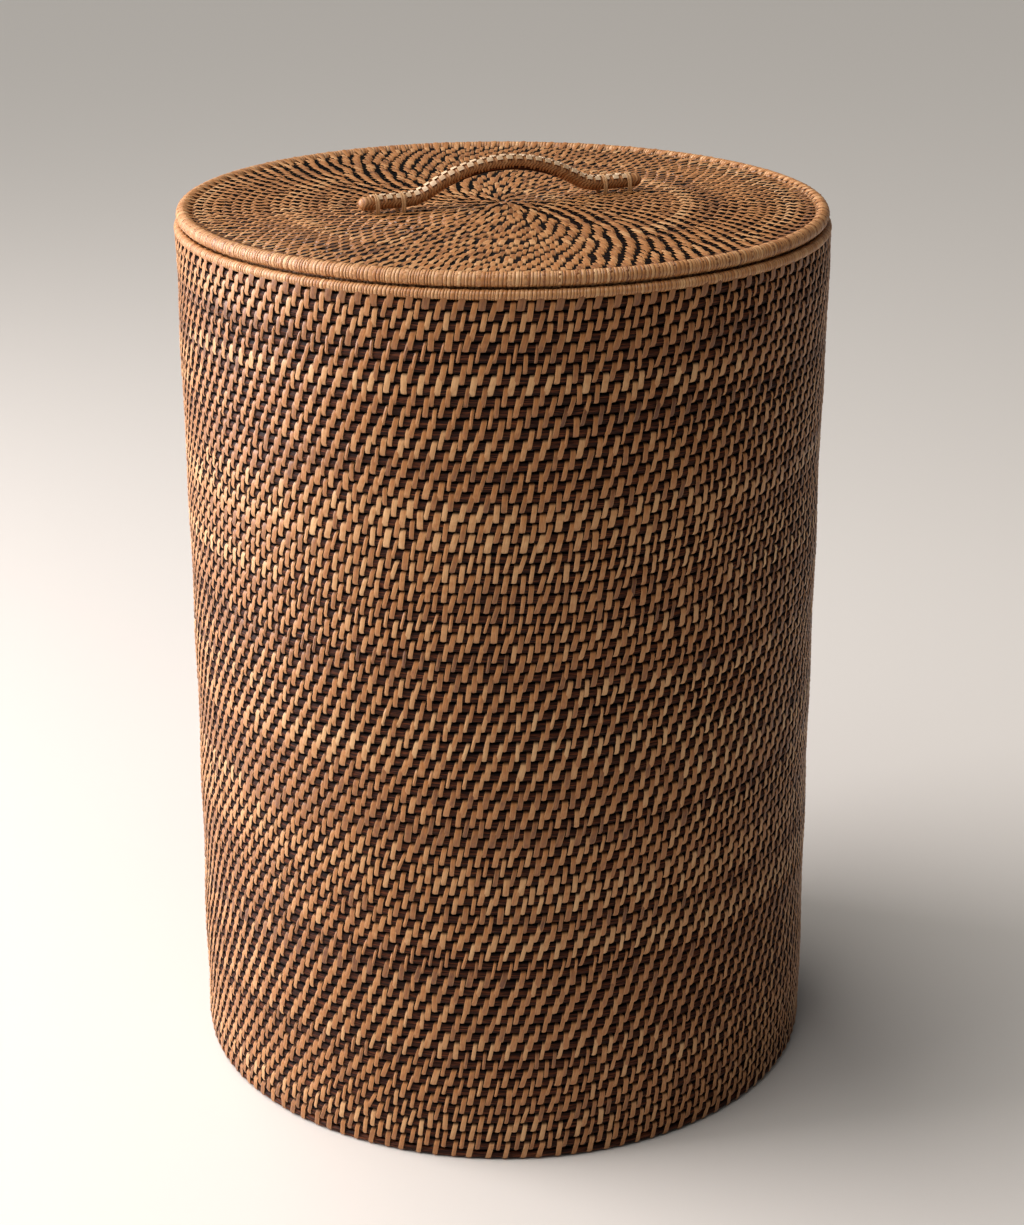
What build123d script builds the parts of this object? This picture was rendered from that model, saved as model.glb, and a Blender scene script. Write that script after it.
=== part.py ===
from build123d import *
from math import atan, degrees, sin
import os

# Round laundry hamper of coiled rattan with a lift-off lid.
# A dark rattan rod is coiled round and round into a base, a wall and a lid. A lighter strip of
# rattan peel binds each turn to the one beside it. The turns are level rings here, joined where
# neighbouring turns press together, and the peel is a thin skin over them.
# The origin is at the bottom centre, +Z is up, the handle runs along X, sizes are millimetres.

# Whole basket
RIM_OUTER_R = 210.0
BASKET_H = 564.0
LID_TOP_Z = 574.0
OVERALL_H = 602.5
FIT_GAP = 0.3

# Peel, and the coils seen in section: crest is the middle of a turn, seam is where turns meet
PEEL_T = 0.8
WALL_CREST = 2.7
WALL_SEAM = 1.5
DISC_CREST = 2.4
DISC_SEAM = 1.4

# Wall, upright at first and slightly flared above
WALL_MIDDLE_R = 203.0
WALL_FLARE = 3.2
FLARE_FROM_Z = 260.0
WALL_FROM_Z = 6.4
WALL_TO_Z = 557.4
WALL_TURNS = 87
WALL_PITCH = (WALL_TO_Z - WALL_FROM_Z) / WALL_TURNS
SKIN_LEVELS = (WALL_FROM_Z, FLARE_FROM_Z, WALL_TO_Z)

# Foot turn, whose binding is worn flat where it stands on the floor
FOOT_Z = 2.9
FOOT_ROD_R = 2.2
FOOT_BINDING_R = 3.2

# Rim turn of the basket, wrapped all the way round
RIM_WRAP_R = 3.15
RIM_ROD_R = 2.15
RIM_WRAP_T = 0.65
RIM_MIDDLE_R = RIM_OUTER_R - RIM_WRAP_R
RIM_Z = BASKET_H - RIM_WRAP_R

# Base and lid discs
DISC_TURNS = 32
DISC_R = 198.4
DISC_PITCH = DISC_R / (DISC_TURNS + 0.5)
BASE_Z = 5.2

# Lid rim, a thicker wrapped rod
LID_RIM_OUTER_R = 208.5
LID_RIM_WRAP_R = 4.7
LID_RIM_ROD_R = 3.6
LID_RIM_WRAP_T = 0.75
LID_RIM_MIDDLE_R = LID_RIM_OUTER_R - LID_RIM_WRAP_R
LID_Z = LID_TOP_Z - LID_RIM_WRAP_R
LID_FACE = DISC_CREST + FIT_GAP + PEEL_T

# Hoop of two wrapped turns under the lid, which drops inside the basket's mouth
HOOP_MIDDLE_R = 196.3
HOOP_ROD_R = 2.3
HOOP_WRAP_R = 3.1
HOOP_WRAP_T = 0.45
HOOP_TURNS_Z = (562.4, 556.1)

# Handle, an arched wrapped rod with a flat foot at each end
HANDLE_HALF_LENGTH = 98.75
HANDLE_WRAP_R = 5.25
HANDLE_WRAP_T = 0.85
HANDLE_CORE_R = 4.1
ARCH_HALF_SPAN = 68.0
HANDLE_FOOT_Z = LID_Z + LID_FACE + FIT_GAP + HANDLE_WRAP_R
BRAID_GAP = 0.2
BRAID_T = 0.6
BRAID_R = HANDLE_WRAP_R + BRAID_GAP + BRAID_T
BRAID_HALF_ANGLE = 32.0
ARCH_RISE = OVERALL_H - BRAID_R - HANDLE_FOOT_Z
ARCH_ANGLE = 2 * degrees(atan(ARCH_RISE / ARCH_HALF_SPAN))
SLEEVE_HALF_LENGTH = HANDLE_HALF_LENGTH - HANDLE_WRAP_R
ARCH_RADII_SUM = ARCH_HALF_SPAN / sin(2 * atan(ARCH_RISE / ARCH_HALF_SPAN))
RISE_R = 34.0
CROWN_R = ARCH_RADII_SUM - RISE_R

# Ties of peel that lash the handle down through the lid
TIE_W = 3.0
TIE_R = HANDLE_WRAP_R + FIT_GAP + PEEL_T
TIE_UNDER_Z = LID_Z - LID_FACE - 2 * FIT_GAP - PEEL_T
TIE_X = {
    "left_tip_tie": -88.0,
    "left_arch_tie": -70.5,
    "right_arch_tie": 70.5,
    "right_tip_tie": 88.0,
}
TIE_SLOT = (TIE_W + 0.8, PEEL_T + 0.9, 12.0)

os.makedirs("parts", exist_ok=True)


def wall_middle(z):
    """Radius of the wall's middle at height z: upright, then flared evenly to the rim."""
    flared = max(0.0, z - FLARE_FROM_Z) / (WALL_TO_Z - FLARE_FROM_Z)
    return WALL_MIDDLE_R + WALL_FLARE * flared


def wall_arcs(seam, crest):
    """One arc over each turn of the wall, at these distances from its middle."""
    for turn in range(WALL_TURNS):
        low = WALL_FROM_Z + turn * WALL_PITCH
        middle = low + WALL_PITCH / 2
        high = low + WALL_PITCH
        ThreePointArc(
            (wall_middle(low) + seam, low),
            (wall_middle(middle) + crest, middle),
            (wall_middle(high) + seam, high),
        )


def disc_arcs(seam_z, crest_z):
    """A flat spot at the disc's centre, then one arc over each turn."""
    Line((0, seam_z), (DISC_PITCH / 2, seam_z))
    for turn in range(1, DISC_TURNS + 1):
        near = ((turn - 0.5) * DISC_PITCH, seam_z)
        far = ((turn + 0.5) * DISC_PITCH, seam_z)
        ThreePointArc(near, (turn * DISC_PITCH, crest_z), far)


def disc_section(level):
    """Closed outline of half a coiled disc whose middle is at this level."""
    disc_arcs(level + DISC_SEAM, level + DISC_CREST)
    disc_arcs(level - DISC_SEAM, level - DISC_CREST)
    for radius in (0, DISC_R):
        Line((radius, level + DISC_SEAM), (radius, level - DISC_SEAM))


def tie_slots():
    """Cuts the slots that the ties' legs pass through."""
    legs = [(x, y * (TIE_R - PEEL_T / 2), LID_Z) for x in TIE_X.values() for y in (-1, 1)]
    with Locations(*legs):
        Box(*TIE_SLOT, mode=Mode.SUBTRACT)


# Base: the flat coil that the basket is started from
with BuildPart() as base_coil:
    with BuildSketch(Plane.XZ):
        with BuildLine():
            disc_section(BASE_Z)
        make_face()
    revolve(axis=Axis.Z)
base_coil.part.label = "base_coil"
export_step(base_coil.part, "parts/base_coil.step")

# Peel that binds the base, above and below its coil
with BuildPart() as base_lashing:
    for z in (BASE_Z + DISC_CREST + FIT_GAP, BASE_Z - DISC_CREST - FIT_GAP - PEEL_T):
        with BuildSketch(Plane.XY.offset(z)):
            Circle(DISC_R)
        extrude(amount=PEEL_T)
base_lashing.part.label = "base_lashing"
export_step(base_lashing.part, "parts/base_lashing.step")

# Foot: the turn that stands on the floor, round the edge of the base
with BuildPart() as foot_rod:
    with BuildSketch(Plane.XZ):
        with Locations((WALL_MIDDLE_R, FOOT_Z)):
            Circle(FOOT_ROD_R)
    revolve(axis=Axis.Z)
foot_rod.part.label = "foot_rod"
export_step(foot_rod.part, "parts/foot_rod.step")

# Its binding, a sleeve worn flat underneath
with BuildPart() as foot_binding:
    with BuildSketch(Plane.XZ):
        with Locations((WALL_MIDDLE_R, FOOT_Z)):
            Circle(FOOT_BINDING_R)
            Circle(FOOT_ROD_R + FIT_GAP, mode=Mode.SUBTRACT)
        with Locations((WALL_MIDDLE_R, -FOOT_BINDING_R)):
            Rectangle(3 * FOOT_BINDING_R, 2 * FOOT_BINDING_R, mode=Mode.SUBTRACT)
    revolve(axis=Axis.Z)
foot_binding.part.label = "foot_binding"
export_step(foot_binding.part, "parts/foot_binding.step")

# Wall: the coil laid turn on turn
with BuildPart() as wall_coil:
    with BuildSketch(Plane.XZ):
        with BuildLine():
            wall_arcs(WALL_SEAM, WALL_CREST)
            wall_arcs(-WALL_SEAM, -WALL_CREST)
            for z in (WALL_FROM_Z, WALL_TO_Z):
                Line((wall_middle(z) + WALL_SEAM, z), (wall_middle(z) - WALL_SEAM, z))
        make_face()
    revolve(axis=Axis.Z)
wall_coil.part.label = "wall_coil"
export_step(wall_coil.part, "parts/wall_coil.step")

# Peel that binds the wall, outside and inside its coil
with BuildPart() as wall_lashing:
    for near in (WALL_CREST + FIT_GAP, -WALL_CREST - FIT_GAP - PEEL_T):
        with BuildSketch(Plane.XZ):
            with BuildLine():
                Polyline(
                    *[(wall_middle(z) + near, z) for z in SKIN_LEVELS],
                    *[(wall_middle(z) + near + PEEL_T, z) for z in reversed(SKIN_LEVELS)],
                    close=True,
                )
            make_face()
        revolve(axis=Axis.Z)
wall_lashing.part.label = "wall_lashing"
export_step(wall_lashing.part, "parts/wall_lashing.step")

# Rim of the basket: a rod with a sleeve of wrapped peel
with BuildPart() as rim_rod:
    with BuildSketch(Plane.XZ):
        with Locations((RIM_MIDDLE_R, RIM_Z)):
            Circle(RIM_ROD_R)
    revolve(axis=Axis.Z)
rim_rod.part.label = "rim_rod"
export_step(rim_rod.part, "parts/rim_rod.step")

with BuildPart() as rim_wrap:
    with BuildSketch(Plane.XZ):
        with Locations((RIM_MIDDLE_R, RIM_Z)):
            Circle(RIM_WRAP_R)
            Circle(RIM_WRAP_R - RIM_WRAP_T, mode=Mode.SUBTRACT)
    revolve(axis=Axis.Z)
rim_wrap.part.label = "rim_wrap"
export_step(rim_wrap.part, "parts/rim_wrap.step")

# Lid: a flat coil like the base, with slots for the handle's ties
with BuildPart() as lid_coil:
    with BuildSketch(Plane.XZ):
        with BuildLine():
            disc_section(LID_Z)
        make_face()
    revolve(axis=Axis.Z)
    tie_slots()
lid_coil.part.label = "lid_coil"
export_step(lid_coil.part, "parts/lid_coil.step")

# Peel that binds the lid, above and below its coil
with BuildPart() as lid_lashing:
    for z in (LID_Z + DISC_CREST + FIT_GAP, LID_Z - DISC_CREST - FIT_GAP - PEEL_T):
        with BuildSketch(Plane.XY.offset(z)):
            Circle(DISC_R)
        extrude(amount=PEEL_T)
    tie_slots()
lid_lashing.part.label = "lid_lashing"
export_step(lid_lashing.part, "parts/lid_lashing.step")

# Lid rim: a thick rod with its sleeve of wrapped peel
with BuildPart() as lid_rim_rod:
    with BuildSketch(Plane.XZ):
        with Locations((LID_RIM_MIDDLE_R, LID_Z)):
            Circle(LID_RIM_ROD_R)
    revolve(axis=Axis.Z)
lid_rim_rod.part.label = "lid_rim_rod"
export_step(lid_rim_rod.part, "parts/lid_rim_rod.step")

with BuildPart() as lid_rim_wrap:
    with BuildSketch(Plane.XZ):
        with Locations((LID_RIM_MIDDLE_R, LID_Z)):
            Circle(LID_RIM_WRAP_R)
            Circle(LID_RIM_WRAP_R - LID_RIM_WRAP_T, mode=Mode.SUBTRACT)
    revolve(axis=Axis.Z)
lid_rim_wrap.part.label = "lid_rim_wrap"
export_step(lid_rim_wrap.part, "parts/lid_rim_wrap.step")

# Locating hoop under the lid: two rods, each in its own sleeve of peel
with BuildPart() as hoop_rods:
    with BuildSketch(Plane.XZ):
        with Locations(*[(HOOP_MIDDLE_R, z) for z in HOOP_TURNS_Z]):
            Circle(HOOP_ROD_R)
    revolve(axis=Axis.Z)
hoop_rods.part.label = "hoop_rods"
export_step(hoop_rods.part, "parts/hoop_rods.step")

with BuildPart() as hoop_wraps:
    with BuildSketch(Plane.XZ):
        with Locations(*[(HOOP_MIDDLE_R, z) for z in HOOP_TURNS_Z]):
            Circle(HOOP_WRAP_R)
            Circle(HOOP_WRAP_R - HOOP_WRAP_T, mode=Mode.SUBTRACT)
    revolve(axis=Axis.Z)
hoop_wraps.part.label = "hoop_wraps"
export_step(hoop_wraps.part, "parts/hoop_wraps.step")

# Line of the handle: a straight foot, a rising bend, a broad crown, and the same again
with BuildLine(Plane.XZ) as handle_line:
    left_foot = Line(
        (-SLEEVE_HALF_LENGTH, HANDLE_FOOT_Z), (-ARCH_HALF_SPAN, HANDLE_FOOT_Z)
    )
    rise = JernArc(left_foot @ 1, left_foot % 1, RISE_R, ARCH_ANGLE)
    crown = JernArc(rise @ 1, rise % 1, CROWN_R, -2 * ARCH_ANGLE)
    fall = JernArc(crown @ 1, crown % 1, RISE_R, ARCH_ANGLE)
    Line(fall @ 1, fall @ 1 + Vector(SLEEVE_HALF_LENGTH - ARCH_HALF_SPAN, 0, 0))

handle_end = Plane(handle_line.line @ 0, x_dir=(0, 1, 0), z_dir=(1, 0, 0))

# Bent rattan core of the handle
with BuildPart() as handle_core:
    with BuildSketch(handle_end):
        Circle(HANDLE_CORE_R)
    sweep(path=handle_line.line)
handle_core.part.label = "handle_core"
export_step(handle_core.part, "parts/handle_core.step")

# Peel wrapped round the core
with BuildPart() as handle_wrap:
    with BuildSketch(handle_end):
        Circle(HANDLE_WRAP_R)
        Circle(HANDLE_WRAP_R - HANDLE_WRAP_T, mode=Mode.SUBTRACT)
    sweep(path=handle_line.line)
handle_wrap.part.label = "handle_wrap"
export_step(handle_wrap.part, "parts/handle_wrap.step")

# Rounded ends of the handle
with BuildPart() as handle_tips:
    with Locations((-SLEEVE_HALF_LENGTH, 0, HANDLE_FOOT_Z), (SLEEVE_HALF_LENGTH, 0, HANDLE_FOOT_Z)):
        Sphere(HANDLE_WRAP_R)
    with Locations((0, 0, HANDLE_FOOT_Z)):
        Box(
            2 * SLEEVE_HALF_LENGTH,
            3 * HANDLE_WRAP_R,
            3 * HANDLE_WRAP_R,
            mode=Mode.SUBTRACT,
        )
handle_tips.part.label = "handle_tips"
export_step(handle_tips.part, "parts/handle_tips.step")

# Woven strip along the top of the arch
arch_start = Plane(rise @ 0, x_dir=(0, 1, 0), z_dir=(1, 0, 0))
with BuildPart() as handle_braid:
    with BuildSketch(arch_start):
        with BuildLine():
            inner = CenterArc(
                (0, 0), BRAID_R - BRAID_T, 90 - BRAID_HALF_ANGLE, 2 * BRAID_HALF_ANGLE
            )
            outer = CenterArc((0, 0), BRAID_R, 90 - BRAID_HALF_ANGLE, 2 * BRAID_HALF_ANGLE)
            Line(inner @ 0, outer @ 0)
            Line(inner @ 1, outer @ 1)
        make_face()
    sweep(path=Wire([rise, crown, fall]))
handle_braid.part.label = "handle_braid"
export_step(handle_braid.part, "parts/handle_braid.step")

# Ties: each is one loop of peel over the handle's foot and under the lid
for name, x in TIE_X.items():
    with BuildPart() as tie:
        with BuildSketch(Plane.YZ.offset(x)):
            with Locations((0, HANDLE_FOOT_Z)):
                Circle(TIE_R)
            with Locations((0, TIE_UNDER_Z)):
                Rectangle(
                    2 * TIE_R, HANDLE_FOOT_Z - TIE_UNDER_Z, align=(Align.CENTER, Align.MIN)
                )
            with Locations((0, HANDLE_FOOT_Z)):
                Circle(TIE_R - PEEL_T, mode=Mode.SUBTRACT)
            with Locations((0, TIE_UNDER_Z + PEEL_T)):
                Rectangle(
                    2 * (TIE_R - PEEL_T),
                    HANDLE_FOOT_Z - TIE_UNDER_Z - PEEL_T,
                    align=(Align.CENTER, Align.MIN),
                    mode=Mode.SUBTRACT,
                )
        extrude(amount=TIE_W / 2, both=True)
    tie.part.label = name
    export_step(tie.part, f"parts/{name}.step")
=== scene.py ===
import logging
import math
from dataclasses import dataclass, field
from enum import Enum
from typing import Any, Callable, Sequence

import bpy
import numpy as np
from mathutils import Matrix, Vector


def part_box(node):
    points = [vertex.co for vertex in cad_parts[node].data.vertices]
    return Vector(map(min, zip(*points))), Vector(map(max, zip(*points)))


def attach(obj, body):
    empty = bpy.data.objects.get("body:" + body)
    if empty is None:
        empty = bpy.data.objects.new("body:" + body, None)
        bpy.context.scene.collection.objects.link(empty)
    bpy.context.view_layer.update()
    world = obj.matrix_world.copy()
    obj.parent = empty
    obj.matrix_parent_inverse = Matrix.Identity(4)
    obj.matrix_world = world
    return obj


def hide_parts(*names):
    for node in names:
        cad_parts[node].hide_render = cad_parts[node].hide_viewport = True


# Looks of a round laundry hamper of coiled rattan with a lift-off lid.
# Dark rods are coiled into the wall, the base and the lid, and every stitch of honey-coloured
# peel is its own closed loop round two neighbouring rods. Rims, hoop and handle are wrapped.
# Lengths are metres, in the CAD frame: +Z up, handle along X, floor at z = 0.

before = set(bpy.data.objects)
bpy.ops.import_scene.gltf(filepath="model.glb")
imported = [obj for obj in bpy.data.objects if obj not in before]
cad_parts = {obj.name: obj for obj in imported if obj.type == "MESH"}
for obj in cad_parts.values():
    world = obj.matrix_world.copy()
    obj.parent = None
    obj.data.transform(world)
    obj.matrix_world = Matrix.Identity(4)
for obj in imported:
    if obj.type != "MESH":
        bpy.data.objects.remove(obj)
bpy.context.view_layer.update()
log = logging.getLogger("hamper")

MM = 0.001
TAU = 2 * math.pi
GRAIN = "grain"
TINT = "tint"
ROD_FORM_RADIUS = 0.1
ROD_FORM_MERGE = 0.0004
STRIP_NUMBERS = 900
HOOP_MIDDLE = 196.3 * MM


class Slot(Enum):
    """Material slots of the record."""

    CORE = "rattan_core"
    PEEL = "rattan_peel"
    BRAID = "braid_peel"
    TIE = "tie_peel"


class Body(Enum):
    """The two bodies that pieces ride on."""

    BASKET = "basket"
    LID = "lid"


# ---------------------------------------------------------------- shader maths


class Value:
    """A number socket that builds Math nodes when used in an expression."""

    def __init__(self, shader: "Shader", socket: Any) -> None:
        """Keeps the shader that makes nodes and the socket that this value comes from."""
        self.shader = shader
        self.socket = socket

    def _math(self, operation: str, *values: Any) -> "Value":
        """Adds one Math node.

        Args:
            operation: the node's operation.
            values: numbers or Values for its inputs.

        Returns:
            The node's result.
        """
        node = self.shader.node("ShaderNodeMath", {"operation": operation}, values)
        return Value(self.shader, node.outputs[0])

    def __add__(self, other: Any) -> "Value":
        """self + other."""
        return self._math("ADD", self, other)

    def __sub__(self, other: Any) -> "Value":
        """self - other."""
        return self._math("SUBTRACT", self, other)

    def __mul__(self, other: Any) -> "Value":
        """self * other."""
        return self._math("MULTIPLY", self, other)

    def __rsub__(self, other: Any) -> "Value":
        """other - self."""
        return self._math("SUBTRACT", other, self)

    __radd__ = __add__
    __rmul__ = __mul__

    def magnitude(self) -> "Value":
        """The value without its sign."""
        return self._math("ABSOLUTE", self)

    def ramp(self, low: float, high: float) -> "Value":
        """A smooth step from 0 at low to 1 at high.

        Args:
            low: value that gives 0.
            high: value that gives 1.

        Returns:
            The stepped value.
        """
        settings = {"interpolation_type": "SMOOTHSTEP"}
        node = self.shader.node("ShaderNodeMapRange", settings, (self, low, high))
        return Value(self.shader, node.outputs[0])


class Shader:
    """A material's node tree under construction."""

    def __init__(self, name: str) -> None:
        """Starts a material with one Principled shader.

        Args:
            name: the material's name.
        """
        self.material = bpy.data.materials.new(name)
        self.material.use_nodes = True
        self.tree = self.material.node_tree
        self.surface = self.tree.nodes["Principled BSDF"]

    def node(self, kind: str, settings: dict[str, Any] | None = None, values: Any = ()) -> Any:
        """Adds any node.

        Args:
            kind: the node's type.
            settings: attributes to set first; "stops" sets a colour ramp's stops.
            values: what its inputs get, as a sequence in order or a dict by name.

        Returns:
            The node.
        """
        node = self.tree.nodes.new(kind)
        for name, setting in (settings or {}).items():
            if name == "stops":
                self._set_stops(node.color_ramp, setting)
            else:
                setattr(node, name, setting)
        pairs = values.items() if isinstance(values, dict) else enumerate(values)
        for key, value in pairs:
            self.feed(node.inputs[key], value)
        return node

    @staticmethod
    def _set_stops(ramp: Any, stops: Sequence[tuple[float, tuple[float, float, float]]]) -> None:
        """Gives a colour ramp these stops."""
        while len(ramp.elements) < len(stops):
            ramp.elements.new(1.0)
        for element, (place, colour) in zip(ramp.elements, stops):
            element.position = place
            element.color = (*colour, 1.0)

    def feed(self, socket: Any, value: Any) -> None:
        """Links or sets one input.

        Args:
            socket: the input.
            value: a Value, an output socket, or a plain value.
        """
        if isinstance(value, Value):
            value = value.socket
        if isinstance(value, bpy.types.NodeSocket):
            self.tree.links.new(value, socket)
        else:
            socket.default_value = value

    def attribute(self, name: str) -> Any:
        """The node that reads one of the mesh's own attributes."""
        return self.node("ShaderNodeAttribute", {"attribute_name": name})

    def noise(self, vector: Any, scale: float, detail: float, stretch: Sequence[float]) -> Value:
        """Noise over a stretched vector.

        Args:
            vector: socket of the coordinates.
            scale: the noise's scale.
            detail: its octaves.
            stretch: factors for the vector's three parts.

        Returns:
            The noise, from 0 to 1.
        """
        scaled = self.node("ShaderNodeVectorMath", {"operation": "MULTIPLY"}, (vector, stretch))
        values = {"Vector": scaled.outputs[0], "Scale": scale, "Detail": detail}
        return Value(self, self.node("ShaderNodeTexNoise", None, values).outputs[0])

    def blend(self, share: Any, first: Any, second: Any) -> Any:
        """Mixes two colours.

        Args:
            share: how much of the second.
            first: a colour or socket.
            second: a colour or socket.

        Returns:
            The mixed colour's socket.
        """
        node = self.node("ShaderNodeMix", {"data_type": "RGBA"}, {0: share})
        for socket, colour in ((node.inputs[6], first), (node.inputs[7], second)):
            self.feed(socket, (*colour, 1.0) if isinstance(colour, tuple) else colour)
        return node.outputs[2]

    def bump(self, height: Any, strength: float, distance: float) -> None:
        """Feeds the surface's normal from a height.

        Args:
            height: the height, from 0 to 1.
            strength: how strongly it shows.
            distance: its depth in metres.
        """
        values = {"Strength": strength, "Distance": distance, "Height": height}
        node = self.node("ShaderNodeBump", None, values)
        self.feed(self.surface.inputs["Normal"], node.outputs[0])


# ---------------------------------------------------------------- finishes


@dataclass(frozen=True)
class PeelFinish:
    """Split rattan peel: glossy skin, long fibres, a painted highlight along both edges and
    painted shade at the tucked ends, tinted strip by strip.
    """

    name: str
    dark: tuple[float, float, float] = (0.125, 0.040, 0.012)
    honey: tuple[float, float, float] = (0.385, 0.150, 0.042)
    pale: tuple[float, float, float] = (0.62, 0.36, 0.165)
    # Colour of the painted highlight blended along both edges of the strip.
    edge_highlight: tuple[float, float, float] = (0.62, 0.35, 0.145)
    # Near-black painted shade for the strip's ends, where they go into the grooves between rods.
    groove: tuple[float, float, float] = (0.012, 0.005, 0.003)
    tuck: float = 6.6
    mottling: float = 0.36
    half_width: float = 1.5
    edge_highlight_share: float = 0.34
    roughness: float = 0.44
    fibre_stretch: tuple[float, float, float] = (2.6, 0.16, 1.0)
    mottle_stretch: tuple[float, float, float] = (0.35, 0.30, 1.0)
    fibre_share: float = 0.62

    def build(self) -> bpy.types.Material:
        """Makes the material.

        Returns:
            The material, which reads the grain and tint attributes.
        """
        shader = Shader(self.name)
        grain = shader.attribute(GRAIN)
        parts = shader.node("ShaderNodeSeparateXYZ", None, (grain.outputs["Vector"],))
        across = Value(shader, parts.outputs[0])
        tint = Value(shader, shader.attribute(TINT).outputs["Fac"])
        fibre = shader.noise(grain.outputs["Vector"], 1.0, 3.0, self.fibre_stretch)
        mottle = shader.noise(grain.outputs["Vector"], 1.0, 2.0, self.mottle_stretch)
        tone = tint + (fibre - 0.5) * self.fibre_share + (mottle - 0.5) * self.mottling
        stops = ((0.05, self.dark), (0.5, self.honey), (0.97, self.pale))
        colour = shader.node("ShaderNodeValToRGB", {"stops": stops}, (tone,)).outputs[0]
        # Painted highlight: both edges of the strip are blended towards a lighter colour.
        rim = across.magnitude().ramp(0.55 * self.half_width, self.half_width)
        colour = shader.blend(rim * self.edge_highlight_share, colour, self.edge_highlight)
        # Painted shade: towards its ends, where the strip goes into the grooves, its colour is
        # blended to near black.
        tucked_shade = Value(shader, parts.outputs[1]).magnitude().ramp(self.tuck - 2.0, self.tuck)
        colour = shader.blend(tucked_shade * 0.9, colour, self.groove)
        shader.feed(shader.surface.inputs["Base Color"], colour)
        shader.feed(shader.surface.inputs["Roughness"], fibre * 0.22 + (self.roughness - 0.10))
        shader.bump(fibre, 0.35, 0.25 * MM)
        shader.surface.inputs["Specular IOR Level"].default_value = 0.38
        shader.surface.inputs["Coat Weight"].default_value = 0.18
        shader.surface.inputs["Coat Roughness"].default_value = 0.27
        return shader.material


@dataclass(frozen=True)
class CoreFinish:
    """Dark stained rattan core with thin reddish streaks along the rod, and painted shade away
    from the rod's outward crest when streaked.
    """

    name: str
    stain: tuple[float, float, float] = (0.0150, 0.0042, 0.0021)
    streak: tuple[float, float, float] = (0.170, 0.047, 0.017)
    # Near-black painted shade for the rod's sides that face the grooves between turns.
    groove_shade_colour: tuple[float, float, float] = (0.0016, 0.0007, 0.0005)
    roughness: float = 0.58

    def build(self, streaked: bool = True) -> bpy.types.Material:
        """Makes the material.

        Args:
            streaked: whether the mesh carries the grain attribute; CAD nodes don't.

        Returns:
            The material.
        """
        shader = Shader(self.name)
        if streaked:
            source = shader.attribute(GRAIN).outputs["Vector"]
            stretch = (2.3, 0.085, 1.0)
        else:
            source = shader.node("ShaderNodeTexCoord").outputs["Object"]
            stretch = (60.0, 60.0, 900.0)
        fibre = shader.noise(source, 1.0, 4.0, stretch)
        colour = shader.blend(fibre.ramp(0.42, 0.76), self.stain, self.streak)
        if streaked:
            parts = shader.node("ShaderNodeSeparateXYZ", None, (source,))
            beside = Value(shader, parts.outputs[0]).magnitude()
            # Painted shade: away from its outward crest the rod is blended to near black, as in
            # the shade of the grooves.
            colour = shader.blend(beside.ramp(0.8, 2.9), colour, self.groove_shade_colour)
        shader.feed(shader.surface.inputs["Base Color"], colour)
        shader.feed(shader.surface.inputs["Roughness"], fibre * 0.3 + (self.roughness - 0.15))
        shader.surface.inputs["Specular IOR Level"].default_value = 0.12
        shader.bump(fibre, 0.5, 0.2 * MM)
        return shader.material


@dataclass(frozen=True)
class FloorFinish:
    """Plain pale matt floor."""

    name: str = "pale_floor"
    colour: tuple[float, float, float] = (0.64, 0.60, 0.55)

    def build(self) -> bpy.types.Material:
        """Makes the material.

        Returns:
            The material.
        """
        shader = Shader(self.name)
        shader.surface.inputs["Base Color"].default_value = (*self.colour, 1.0)
        shader.surface.inputs["Roughness"].default_value = 0.55
        return shader.material


# ---------------------------------------------------------------- mesh helpers


def primitive(make: Callable[..., Any], **settings: Any) -> bpy.types.Object:
    """Adds a primitive with nothing else selected.

    Args:
        make: the operator that adds it.
        settings: the operator's settings.

    Returns:
        The new object.
    """
    bpy.ops.object.select_all(action="DESELECT")
    make(**settings)
    return bpy.context.object


def read_mesh(form: bpy.types.Object) -> tuple[np.ndarray, np.ndarray]:
    """Reads a form's points and its four-sided faces, then removes the form.

    Args:
        form: an object whose faces all have four corners.

    Returns:
        Points as (n, 3) and faces as (m, 4).
    """
    mesh = form.data
    points = np.empty(len(mesh.vertices) * 3)
    mesh.vertices.foreach_get("co", points)
    corners = np.empty(len(mesh.loops), np.int32)
    mesh.loops.foreach_get("vertex_index", corners)
    bpy.data.objects.remove(form)
    return points.reshape(-1, 3), corners.reshape(-1, 4)


def new_piece(
    name: str,
    points: np.ndarray,
    faces: np.ndarray,
    grain: np.ndarray,
    tint: np.ndarray,
    sharp: float = 35.0,
) -> bpy.types.Object:
    """Makes an object from many copies of a form.

    Args:
        name: the piece's name.
        points: its points, (n, 3).
        faces: its four-sided faces, (m, 4).
        grain: per point, millimetres across and along the strip, and a number for the strip.
        tint: per point, from 0, dark, to 1, pale.
        sharp: edges that turn more than this many degrees stay sharp.

    Returns:
        The object, at the origin.
    """
    mesh = bpy.data.meshes.new(name)
    mesh.vertices.add(len(points))
    mesh.vertices.foreach_set("co", points.astype(np.float32).ravel())
    mesh.loops.add(faces.size)
    mesh.loops.foreach_set("vertex_index", faces.astype(np.int32).ravel())
    mesh.polygons.add(len(faces))
    mesh.polygons.foreach_set("loop_start", np.arange(0, faces.size, 4, dtype=np.int32))
    mesh.update(calc_edges=True)
    mesh.attributes.new(GRAIN, "FLOAT_VECTOR", "POINT").data.foreach_set(
        "vector", grain.astype(np.float32).ravel()
    )
    mesh.attributes.new(TINT, "FLOAT", "POINT").data.foreach_set(
        "value", tint.astype(np.float32).ravel()
    )
    mesh.validate()
    piece = bpy.data.objects.new(name, mesh)
    bpy.context.scene.collection.objects.link(piece)
    bpy.ops.object.select_all(action="DESELECT")
    piece.select_set(True)
    bpy.context.view_layer.objects.active = piece
    bpy.ops.object.shade_smooth_by_angle(angle=math.radians(sharp))
    return piece


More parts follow.
